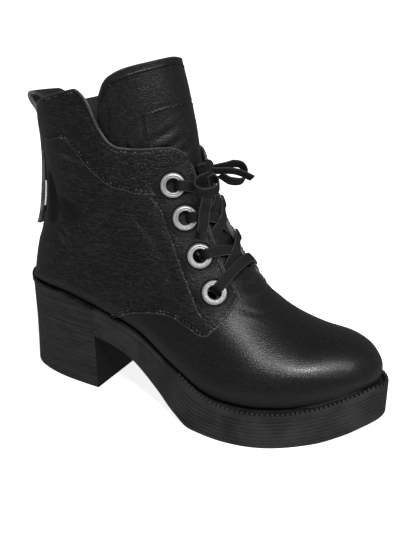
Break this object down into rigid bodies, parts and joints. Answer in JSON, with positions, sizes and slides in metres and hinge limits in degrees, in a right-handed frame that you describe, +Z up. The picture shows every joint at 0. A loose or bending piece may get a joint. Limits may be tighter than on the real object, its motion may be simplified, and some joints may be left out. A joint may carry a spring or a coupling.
{
  "type": "lace-up platform ankle bootie",
  "caption": "Right-foot black leather lace-up ankle bootie with a tall tongue, large ring eyelets, a ribbed platform sole, a block heel and a folded pull strap at the back.",
  "frame": {"origin": "on the floor under the middle of the heel block", "axes": "+X to the toe, +Y to the inner side of the right foot, +Z up"},
  "size_m": [0.2492, 0.0957, 0.2192],
  "materials": {
    "upper_leather": "soft sheen",
    "sole_rubber": "matte",
    "heel_block": "matte, stacked look",
    "insole_board": "matte",
    "plated_steel": "polished",
    "lace_braid": "flat braid"
  },
  "bodies": {
    "root": {"heel": "heel_block", "outsole": "sole_rubber", "insole": "insole_board", "upper": "upper_leather", "tongue": "upper_leather", "back_strap": "upper_leather", "strap_plate": "plated_steel", "eyelet_lateral_1": "plated_steel", "eyelet_lateral_2": "plated_steel", "eyelet_lateral_3": "plated_steel", "eyelet_lateral_4": "plated_steel", "eyelet_medial_1": "plated_steel", "eyelet_medial_2": "plated_steel", "eyelet_medial_3": "plated_steel", "eyelet_medial_4": "plated_steel", "lace_bar": "lace_braid", "lace_cross_1": "lace_braid", "lace_cross_2": "lace_braid", "lace_cross_3": "lace_braid", "lace_knot": "lace_braid", "lace_loop_lateral": "lace_braid", "lace_loop_medial": "lace_braid", "lace_end_lateral": "lace_braid", "lace_end_medial": "lace_braid"}
  },
  "joints": []
}
